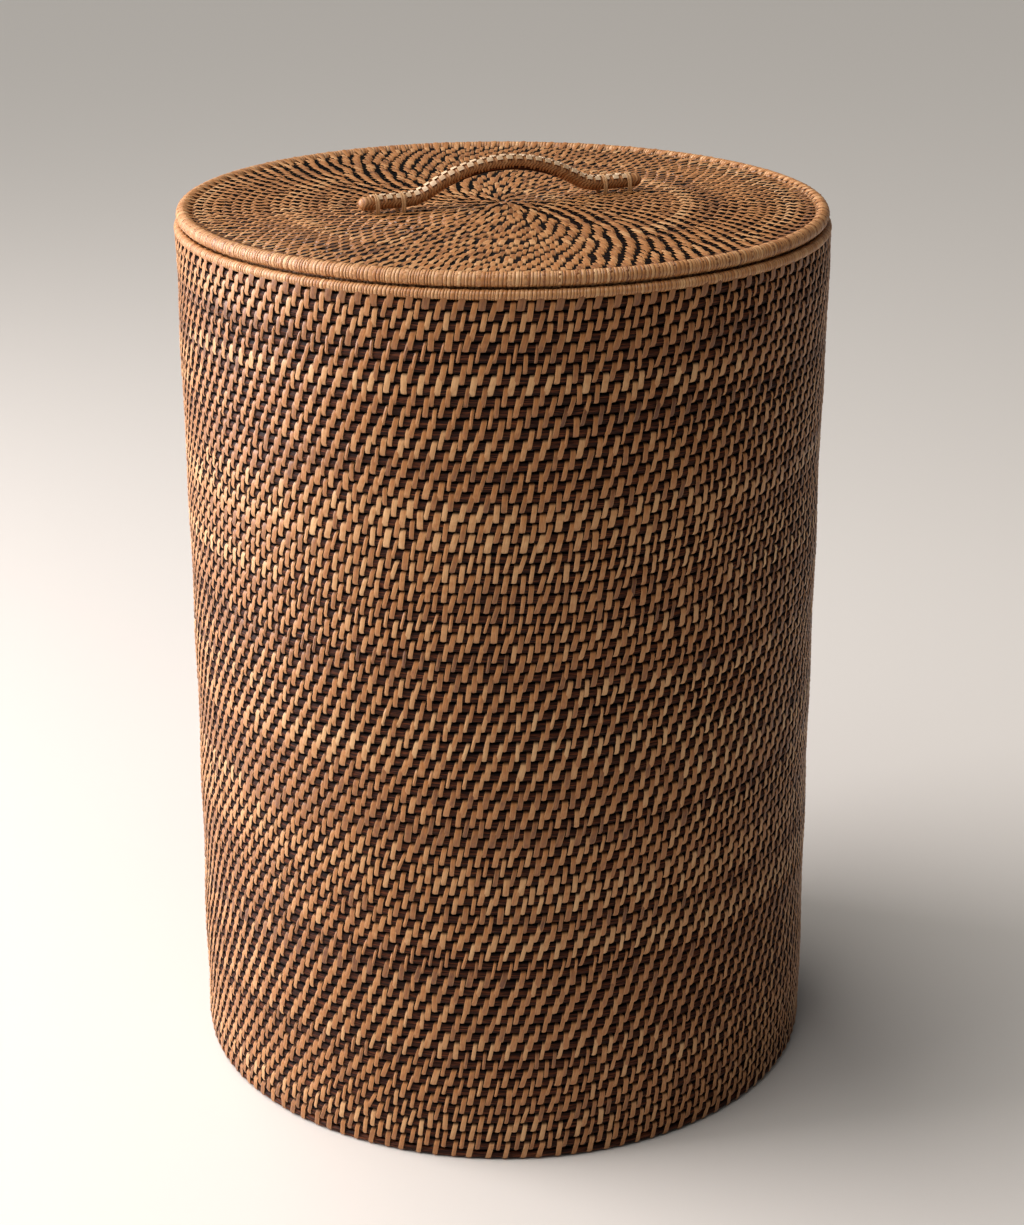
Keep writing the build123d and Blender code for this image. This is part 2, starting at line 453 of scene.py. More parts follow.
def finish_piece(
    piece: bpy.types.Object,
    body: Body,
    slot: Slot,
    material: bpy.types.Material,
    replaces: Sequence[str] = (),
) -> None:
    """Dresses a piece and ties it to the frame.

    Args:
        piece: the object.
        body: the body that it rides on.
        slot: the record's slot of its finish; not used.
        material: its material.
        replaces: CAD nodes that it stands for.
    """
    piece.data.materials.append(material)
    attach(piece, body.value)
    if replaces:
        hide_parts(*replaces)
    log.info("%s: %d faces on %s", piece.name, len(piece.data.polygons), body.value)


def tile_faces(faces: np.ndarray, copies: int, points: int) -> np.ndarray:
    """Repeats a form's faces for a number of copies of its points."""
    return (faces[None] + (np.arange(copies) * points)[:, None, None]).reshape(-1, 4)


def on_circle(radius: np.ndarray, angle: np.ndarray, height: np.ndarray) -> np.ndarray:
    """Points from cylindrical coordinates, as (n, 3)."""
    parts = (radius * np.cos(angle), radius * np.sin(angle), height)
    return np.stack(parts, axis=-1).reshape(-1, 3)


@dataclass(frozen=True)
class Sway:
    """The slight unevenness of handwork: slow waves in and out, and up and down."""

    seed: int
    out: float = 0.55 * MM
    rise: float = 0.75 * MM
    waves: int = 9

    def shift(self, angle: np.ndarray, height: np.ndarray) -> tuple[np.ndarray, np.ndarray]:
        """Works out how far the wall strays.

        Args:
            angle: angles round the axis.
            height: heights.

        Returns:
            The shift outwards and the shift upwards.
        """
        draw = np.random.default_rng(self.seed)
        outwards = np.zeros_like(height)
        upwards = np.zeros_like(height)
        for _ in range(self.waves):
            turns = draw.integers(1, 9)
            climb = draw.uniform(-70, 70)
            start = draw.uniform(0, TAU)
            share = 1.0 / math.sqrt(self.waves)
            wave = share * np.sin(turns * angle + climb * height + start)
            outwards += self.out * wave
            upwards += self.rise * share * np.cos(turns * angle - climb * height + 2 * start)
        return outwards, upwards


# ---------------------------------------------------------------- stitches


@dataclass
class StitchForm:
    """One loop of peel round two neighbouring rods, modelled once and copied.

    Across the strip is x, from the lower rod to the upper one is y, and out of the work is z.
    """

    low_reach: float
    high_reach: float
    spacing: float
    width: float = 3.0 * MM
    thickness: float = 0.7 * MM
    dip: float = 0.25 * MM
    pinch: float = 0.94
    points: np.ndarray = field(init=False)
    faces: np.ndarray = field(init=False)

    def __post_init__(self) -> None:
        """Models the loop and keeps its points and faces."""
        self.points, self.faces = read_mesh(self._model())
        ends = np.abs(self.points[:, 1]) - self.spacing / 2
        squeeze = np.clip(ends / min(self.low_reach, self.high_reach), 0, 1)
        self.points[:, 0] *= 1 - (1 - self.pinch) * squeeze**2

    def _model(self) -> bpy.types.Object:
        """Sweeps a lens-shaped section round both rods and closes the loop.

        Returns:
            The loop's object.
        """
        top, bottom = self.spacing / 2, -self.spacing / 2
        form = primitive(
            bpy.ops.mesh.primitive_circle_add,
            vertices=4,
            radius=self.width / 2,
            location=(0, 0, 0),
        )
        bpy.ops.object.mode_set(mode="EDIT")
        bpy.ops.mesh.select_all(action="SELECT")
        bpy.ops.transform.resize(value=(1, self.thickness / self.width, 1))
        bpy.ops.transform.rotate(
            value=-math.pi / 2, orient_axis="X", center_override=(0, 0, 0)
        )
        bpy.ops.transform.translate(value=(0, top, self.high_reach))
        turn = {"axis": (1, 0, 0), "steps": 4, "angle": math.pi}
        bpy.ops.mesh.spin(center=(0, top, 0), **turn)
        step = (self.high_reach - self.low_reach) / 2
        self._carry(bottom, step + self.dip)
        self._carry(bottom, step - self.dip)
        bpy.ops.mesh.spin(center=(0, bottom, 0), **turn)
        self._carry(top, step - self.dip)
        self._carry(top, step + self.dip)
        bpy.ops.mesh.select_all(action="SELECT")
        bpy.ops.mesh.remove_doubles(threshold=0.02 * MM)
        bpy.ops.mesh.normals_make_consistent(inside=False)
        bpy.ops.object.mode_set(mode="OBJECT")
        return form

    @staticmethod
    def _carry(along: float, out: float) -> None:
        """Extrudes the strip's end this far along the rods' stack and outwards."""
        bpy.ops.mesh.extrude_edges_move(TRANSFORM_OT_translate={"value": (0, along, out)})


@dataclass
class StitchRun:
    """Where a form is repeated and how each copy differs."""

    angle: np.ndarray
    place: np.ndarray
    slant: np.ndarray
    wide: np.ndarray
    lift: np.ndarray
    tint: np.ndarray
    strip: np.ndarray

    def spread(self, form: StitchForm) -> tuple[np.ndarray, np.ndarray, np.ndarray]:
        """Lays the form's points out for every copy, still flat.

        Args:
            form: the stitch to copy.

        Returns:
            Across, along the stack and outwards, each as (copies, points).
        """
        across = form.points[None, :, 0] * self.wide[:, None]
        along = np.broadcast_to(form.points[None, :, 1], across.shape)
        out = form.points[None, :, 2] + np.sign(form.points[None, :, 2]) * self.lift[:, None]
        return across + along * np.tan(self.slant)[:, None], along, out

    def grain(self, form: StitchForm) -> tuple[np.ndarray, np.ndarray]:
        """Works out the grain and tint of every copy's points.

        Args:
            form: the stitch to copy.

        Returns:
            Grain and tint, in the order of the copies' points.
        """
        copies, points = len(self.angle), len(form.points)
        front = np.where(form.points[:, 2] > 0, np.abs(form.points[:, 1]), form.spacing)
        round_loop = np.sign(form.points[:, 1]) * front
        parts = (
            np.broadcast_to(form.points[None, :, 0] / MM, (copies, points)),
            np.broadcast_to(round_loop[None] / MM, (copies, points)),
            np.broadcast_to(self.strip[:, None], (copies, points)),
        )
        grain = np.stack(parts, axis=-1).reshape(-1, 3)
        return grain, np.repeat(self.tint, points)


def joined_stitches(
    name: str,
    form: StitchForm,
    runs: list[StitchRun],
    lay: Callable[[StitchForm, StitchRun], tuple[np.ndarray, ...]],
) -> bpy.types.Object:
    """Makes one piece from several runs of stitches.

    Args:
        name: the piece's name.
        form: the stitch.
        runs: where its copies go.
        lay: places a run, and gives its points, grain and tint.

    Returns:
        The object.
    """
    parts = [lay(form, run) for run in runs]
    points, grain, tint = (np.concatenate(column) for column in zip(*parts))
    faces = tile_faces(form.faces, len(points) // len(form.points), len(form.points))
    return new_piece(name, points, faces, grain, tint)


@dataclass(frozen=True)
class Handwork:
    """How stitches differ: one strip of peel makes tens of them, alike in width and tint."""

    shortest_run: int = 9
    longest_run: int = 42
    strip_width_spread: float = 0.16
    strip_tint: float = 0.47
    strip_tint_spread: float = 0.13
    pale_share: float = 0.07
    paler: float = 0.28
    width_spread: float = 0.08
    widths: tuple[float, float] = (0.58, 1.38)
    tint_spread: float = 0.07
    tints: tuple[float, float] = (0.05, 0.98)
    slant_spread: float = 0.055
    lifts: tuple[float, float] = (-0.12, 0.22)
    strip_numbers: int = STRIP_NUMBERS

    def shares(self, draw: np.random.Generator, count: int) -> tuple[np.ndarray, np.ndarray]:
        """Shares widths and tints out, strip by strip.

        Args:
            draw: the source of random numbers.
            count: number of stitches in all.

        Returns:
            Relative widths and tints, one for each stitch.
        """
        most = count // self.shortest_run + 2
        lengths = draw.integers(self.shortest_run, self.longest_run, size=most)
        strip = np.repeat(np.arange(most), lengths)[:count]
        strip_wide = draw.normal(1.0, self.strip_width_spread, most)
        strip_tint = draw.normal(self.strip_tint, self.strip_tint_spread, most)
        strip_tint += np.where(draw.random(most) < self.pale_share, self.paler, 0.0)
        wide = strip_wide[strip] * draw.normal(1.0, self.width_spread, count)
        tint = strip_tint[strip] + draw.normal(0, self.tint_spread, count)
        return np.clip(wide, *self.widths), np.clip(tint, *self.tints)

    def run(
        self, draw: np.random.Generator, angle: np.ndarray, place: np.ndarray, slant: float
    ) -> StitchRun:
        """Makes a run of stitches.

        Args:
            draw: the source of random numbers.
            angle: angle of each stitch round the axis.
            place: height or radius of each stitch's middle.
            slant: mean slant, positive to the right.

        Returns:
            The run.
        """
        count = len(angle)
        wide, tint = self.shares(draw, count)
        return StitchRun(
            angle=angle,
            place=place,
            slant=slant + draw.normal(0, self.slant_spread, count),
            wide=wide,
            lift=draw.uniform(*self.lifts, count) * MM,
            tint=tint,
            strip=draw.uniform(0, self.strip_numbers, count),
        )


# ---------------------------------------------------------------- rods and wraps


def ring_form(
    sections: int, sides: int, turn: float = TAU
) -> tuple[np.ndarray, np.ndarray, np.ndarray, np.ndarray]:
    """Models a rod bent into a ring, or into a part of one, and reads it back as angles.

    Args:
        sections: sections along the rod.
        sides: sides of the rod.
        turn: how far round the ring the rod goes.

    Returns:
        Angle round the ring, cosine and sine round the rod, and faces.
    """
    form = primitive(bpy.ops.mesh.primitive_circle_add, vertices=sides, radius=ROD_FORM_RADIUS)
    bpy.ops.object.mode_set(mode="EDIT")
    bpy.ops.mesh.select_all(action="SELECT")
    bpy.ops.transform.rotate(value=math.pi / 2, orient_axis="X", center_override=(0, 0, 0))
    bpy.ops.transform.translate(value=(1, 0, 0))
    bpy.ops.mesh.spin(steps=sections, angle=turn, center=(0, 0, 0), axis=(0, 0, 1))
    bpy.ops.mesh.select_all(action="SELECT")
    bpy.ops.mesh.remove_doubles(threshold=ROD_FORM_MERGE)
    bpy.ops.mesh.normals_make_consistent(inside=False)
    bpy.ops.object.mode_set(mode="OBJECT")
    points, faces = read_mesh(form)
    angle = np.arctan2(points[:, 1], points[:, 0])
    out = (np.hypot(points[:, 0], points[:, 1]) - 1.0) / ROD_FORM_RADIUS
    return angle, out, points[:, 2] / ROD_FORM_RADIUS, faces


@dataclass
class WrappedRing:
    """A ring of rod wound closely with peel, each wrap a low rib with a groove beside it."""

    name: str
    middle: float
    level: float
    reach: float
    wrap_width: float
    seed: int
    sides: int = 12
    groove: float = 0.26 * MM
    stations: tuple[tuple[float, float], ...] = ((0.0, 1.0), (0.18, 0.0), (0.84, 0.0))
    width_spread: float = 0.22
    widths: tuple[float, float] = (0.5, 1.6)
    proud: tuple[float, float] = (-0.10, 0.12)
    tint: float = 0.66
    tint_spread: float = 0.09
    tints: tuple[float, float] = (0.3, 0.95)
    pale_share: float = 0.05
    paler: float = 0.22
    groove_shade: float = 0.75

    def arrays(self) -> tuple[np.ndarray, np.ndarray, np.ndarray, np.ndarray]:
        """Works out the wound ring.

        Returns:
            Points, faces, grain and tint.
        """
        draw = np.random.default_rng(self.seed)
        wraps = round(TAU * self.middle / self.wrap_width)
        steps = len(self.stations)
        angle, out, up, faces = ring_form(wraps * steps, self.sides)
        step = np.round(angle % TAU / TAU * wraps * steps).astype(int) % (wraps * steps)
        wrap = step // steps
        widths = np.clip(draw.normal(1.0, self.width_spread, wraps), *self.widths)
        starts = np.concatenate(([0.0], np.cumsum(widths))) / widths.sum() * TAU
        inside, depth = np.array(self.stations)[step % steps].T
        round_rod = np.arctan2(up, out)
        pitch = TAU / wraps
        turned = starts[wrap] + inside * (starts[wrap + 1] - starts[wrap])
        turned = turned + pitch * round_rod / TAU
        proud = draw.uniform(*self.proud, wraps)[wrap] * MM
        radius = self.reach - self.groove * depth + proud * (1 - depth)
        points = on_circle(self.middle + radius * out, turned, self.level + radius * up)
        strip_tint = np.clip(draw.normal(self.tint, self.tint_spread, wraps), *self.tints)
        strip_tint += np.where(draw.random(wraps) < self.pale_share, self.paler, 0.0)
        across = (inside - 0.6) * self.wrap_width / MM
        grain = np.stack((across, round_rod * self.reach / MM, wrap * 7.3), axis=-1)
        return points, faces, grain, strip_tint[wrap] - self.groove_shade * depth

    def piece(self) -> bpy.types.Object:
        """Makes the ring's object."""
        return new_piece(self.name, *self.arrays(), sharp=60.0)


# ---------------------------------------------------------------- wall


@dataclass
class Wall:
    """The upright wall: level turns of dark rod, bound turn to turn by slanted stitches."""

    turns: int = 87
    stitches: int = 126
    rod: float = 2.72 * MM
    tall: float = 1.16
    reach: float = 3.10 * MM
    step: float = 0.43
    slant: float = math.radians(11.0)
    bands: int = 8
    skin: float = 0.70 * MM
    upright_share: float = 0.46
    flare_power: float = 1.3
    calm_length: float = 30 * MM
    rod_sections: int = 120
    rod_sides: int = 8
    rim_reach: float = 3.10 * MM
    rim_stitch_width: float = 3.3 * MM
    rim_wrap_width: float = 2.1 * MM
    sway: Sway = Sway(seed=11)
    handwork: Handwork = Handwork()

    def __post_init__(self) -> None:
        """Reads the wall's levels and radii from the frame."""
        low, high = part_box("wall_coil")
        foot_low, foot_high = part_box("foot_rod")
        rim_low, rim_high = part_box("rim_rod")
        _, skin_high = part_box("wall_lashing")
        self.bottom, self.top = low.z, high.z
        self.pitch = (high.z - low.z) / self.turns
        self.foot_z = (foot_low.z + foot_high.z) / 2
        self.foot_rod = (foot_high.z - foot_low.z) / 2
        self.rim_z = (rim_low.z + rim_high.z) / 2
        self.base_middle = foot_high.x - self.foot_rod
        self.rim_middle = rim_high.x - (rim_high.z - rim_low.z) / 2
        self.top_middle = skin_high.x - (self.reach + self.skin)
        self.flare_from = self.upright_share * self.top

    def middle(self, height: np.ndarray) -> np.ndarray:
        """Radius of the wall's middle at these heights: upright, then gently flared."""
        share = np.clip((height - self.flare_from) / (self.top - self.flare_from), 0, 1)
        return self.base_middle + (self.top_middle - self.base_middle) * share**self.flare_power

    def calm(self, height: np.ndarray) -> np.ndarray:
        """How much sway is let through: none at the foot and the rim."""
        near = np.minimum(height - self.foot_z, self.rim_z - height) / self.calm_length
        return np.clip(near, 0, 1)

    def place(self, angle: np.ndarray, height: np.ndarray, out: np.ndarray) -> np.ndarray:
        """Points of the wall.

        Args:
            angle: angles round the axis.
            height: heights.
            out: distances outwards from the wall's middle.

        Returns:
            The points, as (n, 3).
        """
        outwards, upwards = self.sway.shift(angle, height)
        calm = self.calm(height)
        radius = self.middle(height) + out + outwards * calm
        return on_circle(radius, angle, height + upwards * calm)

    def rods(self) -> bpy.types.Object:
        """Makes every turn of the coil between foot and rim.

        Returns:
            The object.
        """
        angle, out, up, faces = ring_form(self.rod_sections, self.rod_sides)
        levels = self.bottom + (np.arange(self.turns) + 0.5) * self.pitch
        draw = np.random.default_rng(5)
        thick = self.rod * draw.normal(1.0, 0.02, self.turns)
        height = levels[:, None] + self.tall * thick[:, None] * up
        turned = np.broadcast_to(angle, height.shape)
        points = self.place(turned, height, thick[:, None] * out)
        around = np.arctan2(up, out) * self.rod / MM
        along = angle * self.base_middle / MM
        strip = draw.uniform(0, STRIP_NUMBERS, self.turns)
        grain = np.stack(np.broadcast_arrays(around, along, strip[:, None]), axis=-1)
        tiled = tile_faces(faces, self.turns, len(angle))
        tint = np.zeros(len(points))
        return new_piece("wall_rods", points, tiled, grain.reshape(-1, 3), tint)

    def row(self, draw: np.random.Generator, turn: int, middle_z: float) -> StitchRun:
        """One row of stitches.

        Args:
            draw: the source of random numbers.
            turn: the row's number, from the foot.
            middle_z: height of the row's middle.

        Returns:
            The run.
        """
        drift = 0.35 * math.sin(turn * 0.21) + 0.5 * math.sin(turn * 0.083 + 1.0)
        count = np.arange(self.stitches) + self.step * turn + drift
        even = (count + draw.normal(0, 0.05, self.stitches)) / self.stitches * TAU
        angle = even + 0.075 * np.sin(even + 0.9) + 0.016 * np.sin(3 * even + 0.05 * turn)
        return self.handwork.run(draw, angle, np.full(self.stitches, middle_z), self.slant)

    def lay(self, form: StitchForm, run: StitchRun) -> tuple[np.ndarray, ...]:
        """Places a run of stitches on the wall.

        Args:
            form: the stitch.
            run: where its copies go.

        Returns:
            Points, grain and tint.
        """
        across, along, out = run.spread(form)
        height = run.place[:, None] + along
        radius = self.middle(run.place)[:, None]
        points = self.place(run.angle[:, None] + across / radius, height, out)
        grain, tint = run.grain(form)
        slow = np.sin(3 * run.angle + 21 * run.place) * np.sin(2 * run.angle - 33 * run.place + 1)
        return points, grain, tint + np.repeat(0.05 * slow, len(form.points))

    def build(
        self, core: bpy.types.Material, peel: bpy.types.Material, wrap: bpy.types.Material
    ) -> None:
        """Makes and dresses the wall, the foot row and the rim row.

        Args:
            core: finish of the rods.
            peel: finish of the stitches.
            wrap: finish of the wrapped rim.
        """
        finish_piece(self.rods(), Body.BASKET, Slot.CORE, core, ["wall_coil"])
        draw = np.random.default_rng(23)
        first = self.bottom + self.pitch / 2
        gap = first - self.foot_z
        foot_form = StitchForm(self.foot_rod + 0.32 * MM, self.reach, gap, thickness=0.6 * MM)
        foot = self.row(draw, 0, (first + self.foot_z) / 2)
        piece = joined_stitches("foot_stitches", foot_form, [foot], self.lay)
        finish_piece(piece, Body.BASKET, Slot.PEEL, peel, ["foot_binding"])
        form = StitchForm(self.reach, self.reach, self.pitch)
        rows = [
            self.row(draw, turn, self.bottom + turn * self.pitch)
            for turn in range(1, self.turns)
        ]
        for band, members in enumerate(np.array_split(np.arange(len(rows)), self.bands)):
            chosen = [rows[member] for member in members]
            piece = joined_stitches(f"wall_stitches_{band + 1}", form, chosen, self.lay)
            finish_piece(piece, Body.BASKET, Slot.PEEL, peel, ["wall_lashing"])
        last = self.top - self.pitch / 2
        rise = self.rim_z - last
        rim_form = StitchForm(self.reach, self.rim_reach, rise, width=self.rim_stitch_width)
        rim = self.row(draw, self.turns, (last + self.rim_z) / 2)
        piece = joined_stitches("rim_stitches", rim_form, [rim], self.lay)
        finish_piece(piece, Body.BASKET, Slot.PEEL, wrap)
        ring = WrappedRing(
            "rim_wrapping", self.rim_middle, self.rim_z, self.rim_reach, self.rim_wrap_width, 31
        )
        finish_piece(ring.piece(), Body.BASKET, Slot.PEEL, wrap, ["rim_wrap"])


# ---------------------------------------------------------------- base and lid discs


@dataclass
class Disc:
    """A flat coil bound turn to turn, its stitches swirling outwards."""

    name: str
    body: Body
    coil_node: str
    lashing_node: str
    seed: int
    turns: int = 32
    stitch_gap: float = 9.4 * MM
    rod: float = 2.40 * MM
    broad: float = 1.25
    reach: float = 2.80 * MM
    step: float = -0.4
    slant: float = math.radians(9.0)
    stitch_width: float = 3.2 * MM
    rod_sections: int = 96
    rod_sides: int = 8
    first_stitches: int = 6
    evenings: int = 7
    inner_rows: int = 22
    handwork: Handwork = Handwork()

    def __post_init__(self) -> None:
        """Reads the disc's level and pitch from the frame."""
        low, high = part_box(self.coil_node)
        self.level = (low.z + high.z) / 2
        self.pitch = high.x / (self.turns + 0.5)
        self.draw = np.random.default_rng(self.seed)

    def rods(self) -> bpy.types.Object:
        """Makes every turn of the disc's coil.

        Returns:
            The object.
        """
        angle, out, up, faces = ring_form(self.rod_sections, self.rod_sides)
        centres = np.arange(1, self.turns + 1) * self.pitch
        radius = centres[:, None] + self.broad * self.rod * out
        turned = np.broadcast_to(angle, radius.shape)
        height = np.broadcast_to(self.level + self.rod * up, radius.shape)
        around = np.arctan2(up, out) * self.rod / MM
        along = angle * centres[:, None] / MM
        strip = self.draw.uniform(0, STRIP_NUMBERS, self.turns)[:, None]
        grain = np.stack(np.broadcast_arrays(around, along, strip), axis=-1).reshape(-1, 3)
        points = on_circle(radius, turned, height)
        tiled = tile_faces(faces, self.turns, len(angle))
        return new_piece(f"{self.name}_rods", points, tiled, grain, np.zeros(len(points)))

    def swirl(self) -> list[np.ndarray]:
        """Works out each row's angles, row by row outwards.

        A row follows the one inside it a part of a gap round, with new stitches set in the
        widest gaps, and is then evened out.

        Returns:
            One array of angles for each row, from the innermost.
        """
        rows = []
        angles = np.arange(self.first_stitches) / self.first_stitches * TAU
        for turn in range(1, self.turns + 1):
            radius = (turn + 0.5) * self.pitch
            gaps = np.diff(np.append(angles, angles[0] + TAU))
            angles = angles + self.step * gaps
            wanted = max(round(TAU * radius / self.stitch_gap), len(angles))
            extra = np.argsort(-gaps * self.draw.uniform(0.9, 1.1, len(gaps)))
            extra = extra[: wanted - len(angles)]
            angles = np.sort(np.concatenate((angles, angles[extra] + gaps[extra] / 2)))
            for _ in range(self.evenings):
                before = np.roll(angles, 1)
                before[0] -= TAU
                after = np.roll(angles, -1)
                after[-1] += TAU
                angles = angles + 0.25 * (before + after - 2 * angles)
            rows.append(angles)
        return rows

    def lay(self, form: StitchForm, run: StitchRun) -> tuple[np.ndarray, ...]:
        """Places a run of stitches on the disc.

        Args:
            form: the stitch.
            run: where its copies go.

        Returns:
            Points, grain and tint.
        """
        across, along, out = run.spread(form)
        radius = run.place[:, None] + along
        turned = run.angle[:, None] - across / run.place[:, None]
        points = on_circle(radius, turned, self.level + out)
        return points, *run.grain(form)

    def row(self, angles: np.ndarray, radius: float) -> StitchRun:
        """One ring of varied stitches.

        Args:
            angles: angle of each stitch round the axis.
            radius: radius of the stitches' middles.

        Returns:
            The run.
        """
        spread = self.draw.normal(0, 0.04, len(angles)) * self.stitch_gap / radius
        place = np.full(len(angles), radius)
        return self.handwork.run(self.draw, angles + spread, place, self.slant)

    def button(self) -> bpy.types.Object:
        """Makes the small wound start at the disc's centre.

        Returns:
            The object.
        """
        form = primitive(
            bpy.ops.mesh.primitive_torus_add,
            major_segments=20,
            minor_segments=10,
            major_radius=1.7 * MM,
            minor_radius=1.75 * MM,
        )
        points, faces = read_mesh(form)
        points[:, 2] = points[:, 2] * 1.35 + self.level
        grain = np.stack((points[:, 0] / MM, points[:, 1] / MM, points[:, 2] / MM), axis=-1)
        return new_piece(f"{self.name}_start", points, faces, grain, np.full(len(points), 0.5))

    def build(self, core: bpy.types.Material, peel: bpy.types.Material) -> list[np.ndarray]:
        """Makes and dresses the disc.

        Args:
            core: finish of the rods.
            peel: finish of the stitches.

        Returns:
            The rows' angles, the last of which lies at the disc's edge.
        """
        finish_piece(self.rods(), self.body, Slot.CORE, core, [self.coil_node])
        form = StitchForm(self.reach, self.reach, self.pitch, width=self.stitch_width)
        rows = self.swirl()
        runs = [
            self.row(angles, (turn + 1.5) * self.pitch)
            for turn, angles in enumerate(rows[:-1])
        ]
        for part, members in enumerate((runs[: self.inner_rows], runs[self.inner_rows :])):
            name = f"{self.name}_stitches_{part + 1}"
            piece = joined_stitches(name, form, members, self.lay)
            finish_piece(piece, self.body, Slot.PEEL, peel, [self.lashing_node])
        finish_piece(self.button(), self.body, Slot.PEEL, peel)
        return rows


@dataclass
class Lid:
    """The lift-off lid: disc, wrapped rim with its long stitches, and locating hoop."""

    disc: Disc = field(
        default_factory=lambda: Disc("lid", Body.LID, "lid_coil", "lid_lashing", seed=41)
    )
    rim_wrap_width: float = 2.2 * MM
    rim_stitch_width: float = 2.9 * MM
    rim_inset: float = 0.15 * MM
    rim_stitch_inset: float = 0.22 * MM
    hoop_wrap_width: float = 3.6 * MM
    hoop_sides: int = 8

    def build(
        self, core: bpy.types.Material, peel: bpy.types.Material, wrap: bpy.types.Material
    ) -> None:
        """Makes and dresses the lid.

        Args:
            core: finish of the rods.
            peel: finish of the stitches.
            wrap: finish of the wrapped rim and hoop.
        """
        rows = self.disc.build(core, peel)
        low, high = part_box("lid_rim_wrap")
        reach = (high.z - low.z) / 2
        middle = high.x - reach
        level = (high.z + low.z) / 2
        ring = WrappedRing(
            "lid_rim_wrapping", middle, level, reach - self.rim_inset, self.rim_wrap_width, 37
        )
        finish_piece(ring.piece(), Body.LID, Slot.PEEL, wrap, ["lid_rim_wrap"])
        last = self.disc.turns * self.disc.pitch
        outer_reach = reach - self.rim_stitch_inset
        form = StitchForm(
            self.disc.reach, outer_reach, middle - last, width=self.rim_stitch_width
        )
        run = self.disc.row(rows[-1], (middle + last) / 2)
        piece = joined_stitches("lid_rim_stitches", form, [run], self.disc.lay)
        finish_piece(piece, Body.LID, Slot.PEEL, wrap)
        self.hoop(wrap)

    def hoop(self, wrap: bpy.types.Material) -> None:
        """Makes and dresses the two wrapped turns under the lid.

        Args:
            wrap: finish of the wrapping.
        """
        rod_low, rod_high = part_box("hoop_rods")
        low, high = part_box("hoop_wraps")
        reach = high.x - (rod_high.x + rod_low.x) / 2 - HOOP_MIDDLE
        for number, level in enumerate((high.z - reach, low.z + reach)):
            ring = WrappedRing(
                f"hoop_wrapping_{number + 1}",
                HOOP_MIDDLE,
                level,
                reach,
                self.hoop_wrap_width,
                51 + number,
                sides=self.hoop_sides,
            )
            finish_piece(ring.piece(), Body.LID, Slot.PEEL, wrap, ["hoop_wraps"])


# ---------------------------------------------------------------- handle


